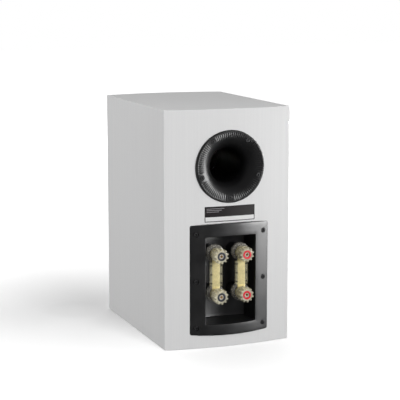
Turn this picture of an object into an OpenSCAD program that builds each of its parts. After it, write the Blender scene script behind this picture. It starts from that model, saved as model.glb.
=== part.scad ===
// Two-way bookshelf speaker: a bowed cabinet, two drivers on the front, and a bass port
// and a recessed bi-wire terminal cup on the back.
// X is across the cabinet, -Y is the front, +Y is the back and Z is up from the base.

/* [Cabinet] */
// Outside height of the cabinet
cab_h = 351; // [345:1:360]
// Outside width of the cabinet
cab_w = 196; // [194:1:200]
// Front-to-back length of the flat side panels
side_d = 271; // [268:1:276]
// Bulge of the back panel over its edges
rear_bow = 10.2; // [9.8:0.1:10.6]
// Bulge of the front baffle over its edges
front_bow = 14.4; // [14:0.1:15]
// Thickness of the side, top and bottom panels
board = 12; // [11:0.5:12.5]
// Thickness of the bent back panel
rear_board = 15; // [14:0.5:16]
// Distance from the middle to the flat inside face of the baffle
baffle_back = 120; // [118:1:122]

/* [Woofer] */
// Height of the woofer's centre
woofer_z = 106; // [104:1:108]
// Outside radius of the basket's flange
woofer_r = 78; // [77:0.5:79]
// Travel of the cone each way, kept clear in front of the dust cap and behind the coil
woofer_travel = 5; // [3:0.5:6]

/* [Tweeter] */
// Height of the tweeter's centre
tweeter_z = 250; // [247:1:255]
// Outside radius of the tweeter's faceplate
tweeter_r = 50; // [48:0.5:51]

/* [Port] */
// Height of the port's centre
port_z = 267.4; // [265:0.2:270]
// Outside radius of the port's flange
port_flange_r = 53; // [52:0.5:54]
// Radius of the port's throat
port_throat_r = 25; // [24:0.5:26]
// How far the flange stands proud of the back panel's crown
port_proud = 2; // [1.5:0.25:3]
// Length of the tube behind the flare
port_tube_l = 90; // [70:5:100]

/* [Terminal cup] */
// Width of the plate
plate_w = 123; // [120:1:126]
// Height of the plate at its sides
plate_h = 162.7; // [160:0.1:165]
// Height of the plate's centre
plate_z = 102.1; // [101.5:0.1:103]
// Bulge of the plate over its side edges
plate_bow = 10.7; // [10:0.1:11.5]
// Width of the recess at its mouth
recess_w = 78; // [76:1:80]
// Height of the recess at its sides
recess_h = 129.3; // [126:0.1:131]
// Depth of the recess's back wall in its middle
recess_floor_y = 105; // [104:0.5:106]

/* [Binding posts] */
// Distance between the black and the red column
post_dx = 40; // [39:0.5:41]
// Distance between the lower and the upper posts
post_dz = 60.2; // [59:0.1:62]
// Height of the lower posts
post_z = 79; // [78:0.5:80]
// Radius of the threaded stud
stud_r = 3.5; // [3.3:0.1:3.6]
// Radius of the 4 mm plug socket in the stud
socket_r = 2.05; // [2:0.05:2.1]
// Number of grip teeth on a knob
knob_teeth = 11; // [9:1:12]

/* [Hidden] */
$fn = 96;
big = 400;               // longer than the cabinet, for cutting right through
eps = 0.05;              // small overlap inside one piece

// Cabinet: radii and centres of the two bowed faces
half_w = cab_w / 2;
half_d = side_d / 2;
function bow_radius(half, bow) = (half * half + bow * bow) / (2 * bow);
rear_r = bow_radius(half_w, rear_bow);
front_r = bow_radius(half_w, front_bow);
rear_crown = half_d + rear_bow;
front_crown = half_d + front_bow;
rear_axis_y = rear_crown - rear_r;
front_axis_y = front_r - front_crown;
in_x = half_w - board;
in_z0 = board;
in_z1 = cab_h - board;
function rear_y(x) = rear_axis_y + sqrt(rear_r * rear_r - x * x);

// Drivers: planes of their flanges, which sit in flat pockets in the baffle
woofer_pocket_y = -138.6;
woofer_flange_t = 3;
woofer_y = woofer_pocket_y - woofer_flange_t;
woofer_cut_r = 68.5;
tweeter_pocket_y = -143.4;
tweeter_plate_t = 3;
tweeter_y = tweeter_pocket_y - tweeter_plate_t;
tweeter_cut_r = 35;
pocket_gap = 0.3;
trim_proud = 1.25;
screw_head_r = 3.6;
screw_head_h = 1.8;
screw_r = 1.9;
woofer_screw_pcd_r = 73.7;
tweeter_screw_pcd_r = 42;
woofer_screw_l = 15;
woofer_screw_angles = [for (i = [0:5]) 30 + 60 * i];
tweeter_screw_angles = [for (i = [0:3]) 45 + 90 * i];

// Woofer's moving parts, radii and depths behind the flange's front
former_r = 12.95;
former_wall = 0.2;
coil_r = 13.55;
woofer_pole_r = 12.3;
woofer_bore_r = 14.1;
cone_r = 51;
basket_back = 44;
top_plate_t = 6;
woofer_magnet_t = 16;
spider_z = 36.4;

// Port: the flare is a quarter round from the flange down to the throat
port_pocket_y = 142.4;
port_front_y = rear_crown + port_proud;
flare_r = 25;
flare_wall = 2.5;
flare_axis_r = port_throat_r + flare_r;
flare_axis_y = port_front_y - flare_r;
port_hole_r = 41;
port_screw_pcd_r = 46;
port_screw_angles = [for (i = [0:4]) 90 + 72 * i];
port_head_r = 3.5;
port_head_y = 144.9;
port_shank_r = 1.65;
tube_wall = 2;
tube_front_y = flare_axis_y - 3;

// Terminal cup
plate_edge = 1;
plate_arch = 1.64;
plate_r = bow_radius(plate_w / 2, plate_bow);
plate_crown = rear_y(plate_w / 2) + plate_edge + plate_bow;
plate_axis_y = plate_crown - plate_r;
recess_arch = 0.85;
recess_draft = 0.04;
recess_z = 101.05;
recess_floor_bow = 7;
recess_floor_r = bow_radius(37.5, recess_floor_bow);
recess_axis_y = recess_floor_y + recess_floor_r;
cup_wall = 3;
cup_gap = 1;
cup_screw_x = 53;
cup_screw_zs = [31, 100.6, 170.3];
cup_screw_head_r = 3.8;

// Binding posts, distances along Y
boss_r = 9;
boss_y0 = 98;
collar_y0 = 130;
collar_y1 = 140.5;
collar_r = 13.5;
stud_hole_r = stud_r + 0.1;
stud_y0 = 84;
stud_y1 = 163.6;
socket_y0 = 145.6;
wire_hole_r = 1.3;
wire_hole_y = 143.75;
bar_t = 1.5;
bar_w = 11.7;
washer_y0 = collar_y1 + bar_t;
washer_t = 2.3;
washer_r = 9;
knob_y0 = washer_y0 + washer_t;
knob_y1 = 164;
knob_grip_y = 151.5;
knob_r = 9.4;
knob_skirt_r = 9.8;
tooth_r = 1.5;
tooth_pcd_r = 9.6;
core_r = 6.5;
core_y1 = 161.5;
thread_gap = 0.05;
ring_r0 = 4.2;
ring_r1 = 6.4;
post_xs = [post_dx / 2, -post_dx / 2];
post_zs = [post_z, post_z + post_dz];
post_mid_z = post_z + post_dz / 2;

// Colours
white_wrap = [0.86, 0.86, 0.86];
chipboard = [0.72, 0.60, 0.45];
black_plastic = [0.10, 0.10, 0.11];
gold = [0.85, 0.70, 0.35];
steel = [0.62, 0.63, 0.65];
ferrite = [0.18, 0.18, 0.19];
clear_plastic = [0.90, 0.88, 0.80, 0.6];

// Places children with their own +Z along the model's +Y
module along_y(x, y, z) {
    translate([x, y, z]) rotate([-90, 0, 0]) children();
}

// Extrudes an outline drawn in X and Z from y0 to y1
module slab_y(y0, y1) {
    translate([0, y1, 0]) rotate([90, 0, 0]) linear_extrude(y1 - y0) children();
}

module at_angles(angles, r) {
    for (a = angles) rotate([0, 0, a]) translate([r, 0, 0]) children();
}

// Every point inside the two bowed faces
module between_bows(z0 = 0, z1 = cab_h) {
    translate([0, 0, z0]) linear_extrude(z1 - z0) intersection() {
        translate([0, rear_axis_y]) circle(rear_r, $fn = 256);
        translate([0, front_axis_y]) circle(front_r, $fn = 256);
        square([cab_w, big], center = true);
    }
}

// ---- cabinet -------------------------------------------------------------

module side_panel(side) {
    color(white_wrap) intersection() {
        between_bows();
        slab_y(-big / 2, big / 2) polygon([
            [side * half_w, 0], [side * half_w, cab_h],
            [side * in_x, in_z1], [side * in_x, in_z0]
        ]);
    }
}

module left_side_panel() { side_panel(-1); }

module right_side_panel() { side_panel(1); }

// Top or bottom panel, with mitred ends; outer is its outside height, inner its inside one
module cap_panel(outer, inner) {
    color(white_wrap) intersection() {
        between_bows();
        slab_y(-big / 2, big / 2) polygon([
            [-half_w, outer], [half_w, outer], [in_x, inner], [-in_x, inner]
        ]);
    }
}

module top_panel() { cap_panel(cab_h, in_z1); }

module bottom_panel() { cap_panel(0, in_z0); }

module front_baffle() {
    color(white_wrap) difference() {
        intersection() {
            between_bows(in_z0, in_z1);
            translate([-in_x, -big / 2, 0]) cube([2 * in_x, big / 2 - baffle_back, cab_h]);
        }
        along_y(0, -big / 2, woofer_z) {
            cylinder(h = big / 2 + woofer_pocket_y, r = woofer_r + pocket_gap);
            cylinder(h = big / 2, r = woofer_cut_r);
        }
        along_y(0, woofer_pocket_y - 1, woofer_z)
            at_angles(woofer_screw_angles, woofer_screw_pcd_r) cylinder(h = 14, r = screw_r);
        along_y(0, -big / 2, tweeter_z) {
            cylinder(h = big / 2 + tweeter_pocket_y, r = tweeter_r + pocket_gap);
            cylinder(h = big / 2, r = tweeter_cut_r);
        }
        along_y(0, tweeter_pocket_y - 1, tweeter_z)
            at_angles(tweeter_screw_angles, tweeter_screw_pcd_r) cylinder(h = 16, r = screw_r);
    }
}

module rear_panel() {
    color(white_wrap) difference() {
        intersection() {
            between_bows(in_z0, in_z1);
            translate([-in_x, 0, 0]) cube([2 * in_x, big / 2, cab_h]);
        }
        translate([0, rear_axis_y, -1]) cylinder(h = big, r = rear_r - rear_board, $fn = 256);
        along_y(0, 0, port_z) cylinder(h = big, r = port_hole_r);
        along_y(0, port_pocket_y, port_z) cylinder(h = big, r = port_flange_r + pocket_gap);
        along_y(0, 131, port_z)
            at_angles(port_screw_angles, port_screw_pcd_r) cylinder(h = 20, r = port_shank_r);
        translate([-recess_w / 2 - cup_wall - cup_gap, 0, recess_z - recess_h / 2 - cup_wall - cup_gap])
            cube([recess_w + 2 * cup_wall + 2 * cup_gap, big, recess_h + 2 * cup_wall + 2 * cup_gap]);
        cup_screw_places() along_y(0, 132, 0) cylinder(h = 20, r = port_shank_r);
    }
}

// Window brace across the middle of the cabinet
module shelf_brace() {
    brace_z = 198;
    brace_t = 9;
    color(chipboard) difference() {
        intersection() {
            translate([-in_x, -baffle_back, brace_z]) cube([2 * in_x, big, brace_t]);
            translate([0, rear_axis_y, 0]) cylinder(h = big, r = rear_r - rear_board, $fn = 256);
        }
        translate([-55, -80, 0]) cube([110, 155, big]);
    }
}

// Wadding mats on the side walls and under the top
module acoustic_wadding() {
    mat_t = 10;
    color([0.88, 0.86, 0.78]) {
        for (side = [-1, 1], z = [[20, 170], [212, 115]])
            translate([side * (in_x - mat_t / 2), 0, z[0] + z[1] / 2])
                cube([mat_t, 180, z[1]], center = true);
        translate([-70, -60, in_z1 - mat_t]) cube([140, 160, mat_t]);
    }
}

// ---- woofer, drawn with its depth behind the flange's front face along +Z --------------

module at_woofer() { along_y(0, woofer_y, woofer_z) children(); }

module woofer_basket() {
    flange_in_r = 65.5;
    shoulder_r = 68;
    back_r = 46;
    color(black_plastic) at_woofer() difference() {
        union() {
            rotate_extrude() polygon([
                [flange_in_r, 0], [woofer_r, 0], [woofer_r, woofer_flange_t],
                [shoulder_r, woofer_flange_t], [shoulder_r, 9], [back_r, 41],
                [back_r, basket_back], [15, basket_back], [15, 41.5], [43.3, 41.5],
                [43.3, 40], [flange_in_r, 8]
            ]);
            rotate_extrude() translate([41, spider_z + 0.6]) square([6, 2]);
        }
        for (i = [0:5]) rotate([0, 0, 60 * i]) translate([30, -17, 12]) cube([50, 34, 20]);
        at_angles(woofer_screw_angles, woofer_screw_pcd_r)
            translate([0, 0, -1]) cylinder(h = 5, r = screw_r + 0.3);
    }
}

// Half-roll rubber edge between the cone and the flange
module woofer_surround() {
    roll_r = 6.6;
    roll_mid = 58.4;
    skin = 0.8;
    color([0.13, 0.13, 0.14]) at_woofer() rotate_extrude() {
        intersection() {
            translate([roll_mid, 0]) difference() {
                circle(roll_r);
                circle(roll_r - skin);
            }
            translate([0, -20]) square([100, 20]);
        }
        translate([cone_r, -skin]) square([1.5, skin]);
        translate([roll_mid + roll_r - skin, -skin]) square([5.6, skin]);
    }
}

module woofer_cone() {
    color([0.16, 0.16, 0.17]) at_woofer() rotate_extrude() polygon([
        [former_r, 23], [cone_r, -1], [cone_r, 0.2], [former_r + 0.7, 24.5], [former_r, 24.5]
    ]);
}

module woofer_dust_cap() {
    cap_r = 19;
    cap_h = 6.5;
    cap_z = 19.1;
    cap_sphere_r = bow_radius(cap_r, cap_h);
    color([0.12, 0.12, 0.13]) at_woofer() intersection() {
        translate([0, 0, cap_z - cap_h + cap_sphere_r]) difference() {
            sphere(cap_sphere_r);
            sphere(cap_sphere_r - 0.8);
        }
        translate([0, 0, cap_z - 20]) cylinder(h = 20, r = 30);
    }
}

// Corrugated centring spider
module woofer_spider() {
    waves = 5;
    ripple = 1.4;
    flat_r = 17;
    outer_r = 41;
    sheet = 0.5;
    pitch = (outer_r - flat_r) / waves;
    zigzag = [for (i = [0:2 * waves]) [flat_r + i * pitch / 2, spider_z + (i % 2) * ripple - ripple]];
    back = [for (i = [2 * waves:-1:0]) zigzag[i] + [0, sheet]];
    color([0.80, 0.68, 0.42]) at_woofer() rotate_extrude() {
        polygon(concat([[former_r, spider_z - ripple]], zigzag, [[45, spider_z - ripple]],
            [[45, spider_z - ripple + sheet]], back, [[former_r, spider_z - ripple + sheet]]));
        translate([outer_r + 1, spider_z - ripple + sheet - eps]) square([3, ripple + 0.1 + eps]);
    }
}

module woofer_voice_coil() {
    coil_l = 12;
    former_z0 = 18;
    former_z1 = basket_back + top_plate_t + woofer_magnet_t - woofer_travel - 7;
    color([0.72, 0.42, 0.22]) at_woofer() {
        difference() {
            union() {
                translate([0, 0, former_z0]) cylinder(h = former_z1 - former_z0, r = former_r);
                translate([0, 0, former_z1 - coil_l]) cylinder(h = coil_l, r = coil_r);
            }
            translate([0, 0, former_z0 - 1]) cylinder(h = big, r = former_r - former_wall);
        }
    }
}

// A flat ring, from radius r0 to r1, z to z + t
module ring(r0, r1, z, t) {
    translate([0, 0, z]) difference() {
        cylinder(h = t, r = r1);
        translate([0, 0, -1]) cylinder(h = t + 2, r = r0);
    }
}

// A magnet's back plate with its pole and a vent right through
module pole_piece(plate_r, pole_r, vent_r, z_pole, z_plate, plate_t) {
    difference() {
        union() {
            translate([0, 0, z_plate]) cylinder(h = plate_t, r = plate_r);
            translate([0, 0, z_pole]) cylinder(h = z_plate - z_pole + eps, r = pole_r);
        }
        translate([0, 0, z_pole - 1]) cylinder(h = big, r = vent_r);
    }
}

module woofer_top_plate() {
    color(steel) at_woofer() ring(woofer_bore_r, 40, basket_back, top_plate_t);
}

module woofer_magnet() {
    color(ferrite) at_woofer() ring(19, 42, basket_back + top_plate_t, woofer_magnet_t);
}

module woofer_yoke() {
    z_plate = basket_back + top_plate_t + woofer_magnet_t;
    color(steel) at_woofer() pole_piece(40, woofer_pole_r, 5, basket_back, z_plate, top_plate_t);
}

// Trim over the flange and its screws; its face follows the baffle's bow
module woofer_trim_ring() {
    outer_r = woofer_r + 0.2;
    color(black_plastic) difference() {
        intersection() {
            along_y(0, -big / 2, woofer_z) cylinder(h = big / 2 + woofer_y, r = outer_r);
            translate([0, front_axis_y, 0]) cylinder(h = cab_h, r = front_r + trim_proud, $fn = 256);
        }
        at_woofer() {
            translate([0, 0, -12]) cylinder(h = 13, r1 = 70, r2 = 66);
            translate([0, 0, -1]) cylinder(h = 2, r = 70.4);
            at_angles(woofer_screw_angles, woofer_screw_pcd_r)
                translate([0, 0, -screw_head_h - 0.4]) cylinder(h = 4, r = screw_head_r + 0.4);
        }
    }
}

// A screw with a hex socket: head from z = -head_h to 0, shank behind it
module socket_screw(head_r, head_h, shank_r, length, socket_flat_r) {
    difference() {
        union() {
            translate([0, 0, -head_h]) cylinder(h = head_h, r = head_r);
            cylinder(h = length, r = shank_r);
        }
        translate([0, 0, -head_h - 1]) cylinder(h = head_h * 0.6 + 1, r = socket_flat_r, $fn = 6);
    }
}

module driver_screws() {
    color(steel) {
        at_woofer() at_angles(woofer_screw_angles, woofer_screw_pcd_r)
            socket_screw(screw_head_r, screw_head_h, screw_r, woofer_screw_l, 1.7);
        at_tweeter() at_angles(tweeter_screw_angles, tweeter_screw_pcd_r)
            translate([0, 0, screw_head_h])
                socket_screw(screw_head_r, screw_head_h, screw_r, woofer_screw_l, 1.7);
    }
}

// ---- tweeter, drawn with its depth behind the faceplate's front along +Z ----------------

module at_tweeter() { along_y(0, tweeter_y, tweeter_z) children(); }

module tweeter_faceplate() {
    color(black_plastic) at_tweeter() difference() {
        rotate_extrude() polygon([
            [30, 0], [tweeter_r, 0], [tweeter_r, tweeter_plate_t], [34.5, tweeter_plate_t],
            [34.5, 7], [17.5, 7], [17.5, 5.2], [15.2, 5.2], [15.2, 4]
        ]);
        at_angles(tweeter_screw_angles, tweeter_screw_pcd_r) {
            translate([0, 0, -1]) cylinder(h = 6, r = screw_r + 0.2);
            translate([0, 0, -1]) cylinder(h = 1 + screw_head_h, r = screw_head_r + 0.3);
        }
    }
}

dome_base_z = 5.9;
dome_ring_t = 0.4;
tweeter_coil_r0 = 13.35;
tweeter_coil_r1 = 13.95;

module tweeter_dome() {
    dome_r = 14.2;
    dome_h = 5;
    sphere_r = bow_radius(dome_r, dome_h);
    color([0.75, 0.75, 0.74]) at_tweeter() {
        intersection() {
            translate([0, 0, dome_base_z - dome_h + sphere_r]) difference() {
                sphere(sphere_r);
                sphere(sphere_r - 0.5);
            }
            translate([0, 0, dome_base_z - 20]) cylinder(h = 20 + eps, r = 20);
        }
        ring(tweeter_coil_r0, 16.8, dome_base_z, dome_ring_t);
    }
}

module tweeter_voice_coil() {
    color([0.72, 0.42, 0.22]) at_tweeter()
        ring(tweeter_coil_r0, tweeter_coil_r1, dome_base_z + dome_ring_t, 6.7);
}

tweeter_plate_z = 7;
tweeter_magnet_z = 11;
tweeter_yoke_z = 22;
tweeter_back_z = 27;

module tweeter_top_plate() {
    color(steel) at_tweeter() ring(14.35, 33, tweeter_plate_z, tweeter_magnet_z - tweeter_plate_z);
}

module tweeter_magnet() {
    color(ferrite) at_tweeter() ring(19, 34, tweeter_magnet_z, tweeter_yoke_z - tweeter_magnet_z);
}

module tweeter_yoke() {
    color(steel) at_tweeter()
        pole_piece(33, 12.95, 4, tweeter_plate_z, tweeter_yoke_z, tweeter_back_z - tweeter_yoke_z);
}

// Sealed cup that damps the air behind the dome
module tweeter_chamber() {
    cup_r = 24;
    cup_d = 20;
    color(black_plastic) at_tweeter() translate([0, 0, tweeter_back_z]) difference() {
        cylinder(h = cup_d, r = cup_r);
        translate([0, 0, -1]) cylinder(h = cup_d - 1, r = cup_r - 2);
    }
}

// ---- port ---------------------------------------------------------------

module port_flare() {
    spigot_y = 104;
    rim = 1.2;
    color(black_plastic) difference() {
        along_y(0, 0, port_z) rotate_extrude() {
            difference() {
                intersection() {
                    translate([flare_axis_r, flare_axis_y]) circle(flare_r);
                    translate([port_throat_r, flare_axis_y]) square(flare_r);
                }
                intersection() {
                    translate([flare_axis_r, flare_axis_y]) circle(flare_r - flare_wall);
                    translate([0, 0]) square([flare_axis_r + 1, port_pocket_y]);
                }
            }
            polygon([
                [flare_axis_r, port_pocket_y], [port_flange_r, port_pocket_y],
                [port_flange_r, port_front_y - rim], [port_flange_r - rim, port_front_y],
                [flare_axis_r, port_front_y]
            ]);
            translate([port_throat_r, spigot_y]) square([flare_wall, flare_axis_y - spigot_y]);
        }
        along_y(0, 0, port_z) at_angles(port_screw_angles, port_screw_pcd_r) {
            cylinder(h = big, r = port_shank_r + 0.25);
            translate([0, 0, port_head_y]) cylinder(h = 10, r = port_head_r + 0.4);
        }
    }
}

module port_tube() {
    color(black_plastic) along_y(0, 0, port_z)
        ring(port_throat_r + flare_wall, port_throat_r + flare_wall + tube_wall,
            tube_front_y - port_tube_l, port_tube_l);
}

// Screws seen from behind, with their heads towards +Y
module rear_screw(head_r, head_h, head_y, length) {
    along_y(0, head_y, 0) mirror([0, 0, 1])
        socket_screw(head_r, head_h, port_shank_r, length, 1.7);
}

module port_screws() {
    color(black_plastic) translate([0, 0, port_z]) for (a = port_screw_angles)
        translate([port_screw_pcd_r * cos(a), 0, -port_screw_pcd_r * sin(a)])
            rear_screw(port_head_r, 2, port_head_y, 12.5);
}

// ---- terminal cup ----------------------------------------------------------

// Outline in X and Z with bowed top and bottom edges
module arched_outline(w, h, z, arch) {
    arch_r = bow_radius(w / 2, arch);
    intersection() {
        translate([0, z]) square([w, h + 2 * arch], center = true);
        translate([0, z + h / 2 + arch - arch_r]) circle(arch_r, $fn = 256);
        translate([0, z - h / 2 - arch + arch_r]) circle(arch_r, $fn = 256);
    }
}

module post_places() {
    for (x = post_xs, z = post_zs) translate([x, 0, z]) children();
}

module cup_screw_places() {
    for (x = [-cup_screw_x, cup_screw_x], z = cup_screw_zs) translate([x, 0, z]) children();
}

// Seat of a cup screw's head, a fixed depth under the plate's face
cup_screw_y = plate_axis_y + sqrt(plate_r * plate_r - cup_screw_x * cup_screw_x) - 1.9;

// The recess's plan, wider towards its mouth, grown by a wall
module recess_plan(wall, y1) {
    y0 = recess_floor_y - 10;
    w0 = recess_w / 2 - recess_draft * (plate_crown - y0) + wall;
    w1 = recess_w / 2 - recess_draft * (plate_crown - y1) + wall;
    intersection() {
        polygon([[-w0, y0], [w0, y0], [w1, y1], [-w1, y1]]);
        translate([0, recess_axis_y]) circle(recess_floor_r + wall, $fn = 256);
    }
}

module terminal_cup() {
    tub_h = recess_h + 2 * cup_wall;
    color(black_plastic) difference() {
        union() {
            difference() {
                intersection() {
                    slab_y(100, big) arched_outline(plate_w, plate_h, plate_z, plate_arch);
                    translate([0, plate_axis_y, 0]) cylinder(h = cab_h, r = plate_r, $fn = 256);
                }
                translate([0, rear_axis_y, -1]) cylinder(h = big, r = rear_r, $fn = 256);
            }
            translate([0, 0, recess_z - tub_h / 2]) linear_extrude(tub_h) recess_plan(cup_wall, 146);
        }
        intersection() {
            linear_extrude(cab_h) recess_plan(0, 180);
            slab_y(0, big) arched_outline(recess_w + 4, recess_h, recess_z, recess_arch);
        }
        cup_screw_places() {
            along_y(0, 0, 0) cylinder(h = big, r = port_shank_r + 0.25);
            along_y(0, cup_screw_y, 0) cylinder(h = big, r = cup_screw_head_r);
        }
        post_places() along_y(0, 0, 0) cylinder(h = big, r = stud_hole_r);
    }
    color(black_plastic) post_places()
        along_y(0, 0, 0) ring(stud_hole_r, boss_r, boss_y0, collar_y0 - boss_y0);
}

module cup_screws() {
    color(black_plastic) cup_screw_places()
        rear_screw(cup_screw_head_r - 0.3, 1.7, cup_screw_y, 11);
}

// ---- binding posts ----------------------------------------------------------

// Clear insulators: a disc with a chamfered edge on a short neck
module post_collars() {
    color(clear_plastic) post_places() along_y(0, 0, 0) rotate_extrude() polygon([
        [stud_hole_r, collar_y0], [10, collar_y0], [10, collar_y0 + 2.5], [12.3, collar_y0 + 2.5],
        [collar_r, collar_y0 + 3.7], [collar_r, collar_y1 - 1.2], [12.3, collar_y1],
        [stud_hole_r, collar_y1]
    ]);
}

module post_studs() {
    color(gold) post_places() difference() {
        along_y(0, stud_y0, 0) cylinder(h = stud_y1 - stud_y0, r = stud_r);
        along_y(0, socket_y0, 0) cylinder(h = big, r = socket_r);
        translate([0, wire_hole_y, -10]) cylinder(h = 20, r = wire_hole_r);
    }
}

module post_nuts() {
    nut_y0 = 92;
    nut_t = 4.5;
    color(gold) post_places() {
        along_y(0, nut_y0, 0) difference() {
            cylinder(h = nut_t, r = 6.5, $fn = 6);
            translate([0, 0, -1]) cylinder(h = nut_t + 2, r = stud_r);
        }
        along_y(0, 0, 0) ring(stud_r, 8, nut_y0 + nut_t, boss_y0 - nut_y0 - nut_t);
    }
}

// Gold links between the two posts of each column
module jumper_bars() {
    color(gold) for (x = post_xs) translate([x, 0, 0]) difference() {
        union() {
            translate([-bar_w / 2, collar_y1, post_z]) cube([bar_w, bar_t, post_dz]);
            for (z = post_zs) along_y(0, collar_y1, z) cylinder(h = bar_t, r = washer_r);
        }
        for (z = post_zs) along_y(0, 0, z) cylinder(h = big, r = stud_r + 0.3);
    }
}

cover_l = 36.2;
cover_w = 19;
cover_y1 = 144.5;
cover_screw_x = 7.6;
cover_screw_dz = 13.2;

module cover_screw_places() {
    for (x = post_xs, dx = [-cover_screw_x, cover_screw_x], dz = [-1, 0, 1])
        translate([x + dx, 0, post_mid_z + dz * cover_screw_dz]) children();
}

// Clear sleeves around the links
module jumper_covers() {
    back_t = 1.5;
    color(clear_plastic) difference() {
        for (x = post_xs) {
            translate([x - cover_w / 2, collar_y1, post_mid_z - cover_l / 2])
                cube([cover_w, cover_y1 - collar_y1, cover_l]);
            translate([x - cover_w / 2, collar_y1 - back_t, post_mid_z - cover_l / 2 + 3])
                cube([cover_w, back_t + eps, cover_l - 6]);
        }
        for (x = post_xs) translate([x - bar_w / 2, collar_y1, post_z]) cube([bar_w, bar_t, post_dz]);
        cover_screw_places() along_y(0, 0, 0) cylinder(h = big, r = 1);
    }
}

module jumper_screws() {
    color(black_plastic) cover_screw_places() along_y(0, collar_y1 - 1.5, 0)
        cylinder(h = cover_y1 - collar_y1 + 1.5, r = 1);
}

module rating_label() {
    label_w = 78.4;
    label_h = 22.6;
    label_z = 198.7;
    label_t = 0.3;
    color([0.2, 0.2, 0.2]) difference() {
        intersection() {
            slab_y(0, big) translate([0, label_z]) square([label_w, label_h], center = true);
            translate([0, rear_axis_y, 0]) cylinder(h = cab_h, r = rear_r + label_t, $fn = 256);
        }
        translate([0, rear_axis_y, -1]) cylinder(h = big, r = rear_r, $fn = 256);
    }
}

// The knob's own pieces, drawn with +Z along the model's +Y at the post's height
module washer_shape() { ring(stud_r + 0.35, washer_r, washer_y0, washer_t); }

module knob_shape() {
    difference() {
        union() {
            translate([0, 0, knob_y0]) cylinder(h = knob_grip_y - knob_y0 + eps, r = knob_skirt_r);
            translate([0, 0, knob_grip_y]) linear_extrude(knob_y1 - knob_grip_y) {
                circle(knob_r);
                for (i = [0:knob_teeth - 1])
                    rotate(360 / knob_teeth * i) translate([tooth_pcd_r, 0]) circle(tooth_r);
            }
        }
        translate([0, 0, knob_y0 - 1]) cylinder(h = core_y1 - knob_y0 + 1, r = core_r);
        cylinder(h = big, r = stud_hole_r);
        ring(ring_r0, ring_r1, knob_y1 - 1, 5);
    }
}

module core_shape() { ring(stud_r + thread_gap, core_r, knob_y0 + 0.5, core_y1 - knob_y0 - 0.5); }

module ring_shape() { ring(ring_r0, ring_r1, knob_y1 - 1, 1.3); }

// A piece of one post's clamp: what is the piece, x and z the post's place
module post_piece(what, x, z, tint) {
    along_y(x, 0, z) {
        if (what == "washer") color(gold) washer_shape();
        if (what == "knob") color(clear_plastic) knob_shape();
        if (what == "core") color(gold) core_shape();
        if (what == "ring") color(tint) ring_shape();
    }
}

black_tint = [0.15, 0.15, 0.17];
red_tint = [0.85, 0.12, 0.15];
black_x = post_xs[0];
red_x = post_xs[1];
low_z = post_zs[0];
high_z = post_zs[1];

// ---- crossover -------------------------------------------------------------

crossover_corners = [[-44, -24], [44, -24], [-44, 64], [44, 64]];
crossover_z = board + 6;
crossover_t = 1.6;
crossover_top = crossover_z + crossover_t;

module crossover_board() {
    color([0.25, 0.38, 0.22]) difference() {
        translate([-50, -30, crossover_z]) cube([100, 100, crossover_t]);
        for (p = crossover_corners) translate([p[0], p[1], 0]) cylinder(h = big, r = 2);
    }
}

module crossover_spacers() {
    color(steel) for (p = crossover_corners) translate([p[0], p[1], board]) {
        difference() {
            cylinder(h = crossover_z - board, r = 4);
            translate([0, 0, -1]) cylinder(h = big, r = 1.9);
        }
        cylinder(h = crossover_top - board, r = 1.9);
        translate([0, 0, crossover_top - board]) cylinder(h = 1.8, r = 3.5);
    }
}

module crossover_inductors() {
    color([0.72, 0.42, 0.22]) for (p = [[-25, 2, 17], [24, 38, 13]])
        translate([p[0], p[1], crossover_top]) ring(6, p[2], 0, 18);
}

module crossover_capacitors() {
    color([0.85, 0.72, 0.30]) for (p = [[18, -12, 8], [18, 7, 7], [-30, 36, 9]])
        translate([p[0] - 14, p[1], crossover_top + p[2]]) rotate([0, 90, 0]) cylinder(h = 30, r = p[2]);
}

module crossover_resistors() {
    color([0.90, 0.89, 0.85]) for (y = [50, 60])
        translate([-28, y, crossover_top]) cube([32, 7, 8]);
}

// Leads from the posts to the crossover and on to the two drivers
wire_r = 1.3;
wire_runs = [
    [[black_x, 82, low_z], [24, 74, 60], [30, 70, 34], [36, 58, 21]],
    [[red_x, 82, low_z], [-24, 74, 60], [-30, 70, 34], [-36, 58, 21]],
    [[black_x, 82, high_z], [34, 72, 110], [44, 76, 60], [42, 50, 21]],
    [[red_x, 82, high_z], [-34, 72, 110], [-44, 76, 60], [-42, 50, 21]],
    [[34, -22, 21], [40, -50, 36], [44, -80, 60], [46, -92, 80]],
    [[-36, -22, 21], [-50, -40, 90], [-48, -50, 190], [-44, -62, 212], [-36, -88, 222], [-28, -94, 228]]
];

module internal_wires() {
    color([0.75, 0.15, 0.12]) for (run = wire_runs, i = [0:len(run) - 2]) hull() {
        translate(run[i]) sphere(wire_r, $fn = 12);
        translate(run[i + 1]) sphere(wire_r, $fn = 12);
    }
}

left_side_panel();
right_side_panel();
top_panel();
bottom_panel();
front_baffle();
rear_panel();
shelf_brace();
acoustic_wadding();
woofer_basket();
woofer_surround();
woofer_cone();
woofer_dust_cap();
woofer_spider();
woofer_voice_coil();
woofer_top_plate();
woofer_magnet();
woofer_yoke();
woofer_trim_ring();
driver_screws();
tweeter_faceplate();
tweeter_dome();
tweeter_voice_coil();
tweeter_top_plate();
tweeter_magnet();
tweeter_yoke();
tweeter_chamber();
port_flare();
port_tube();
port_screws();
terminal_cup();
cup_screws();
post_collars();
post_studs();
post_nuts();
jumper_bars();
jumper_covers();
jumper_screws();
rating_label();
crossover_board();
crossover_spacers();
crossover_inductors();
crossover_capacitors();
crossover_resistors();
internal_wires();
post_piece("washer", black_x, high_z, gold);  // upper_black_washer
post_piece("knob", black_x, high_z, gold);  // upper_black_knob
post_piece("core", black_x, high_z, gold);  // upper_black_core
post_piece("ring", black_x, high_z, black_tint);  // upper_black_ring
post_piece("washer", black_x, low_z, gold);  // lower_black_washer
post_piece("knob", black_x, low_z, gold);  // lower_black_knob
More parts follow.
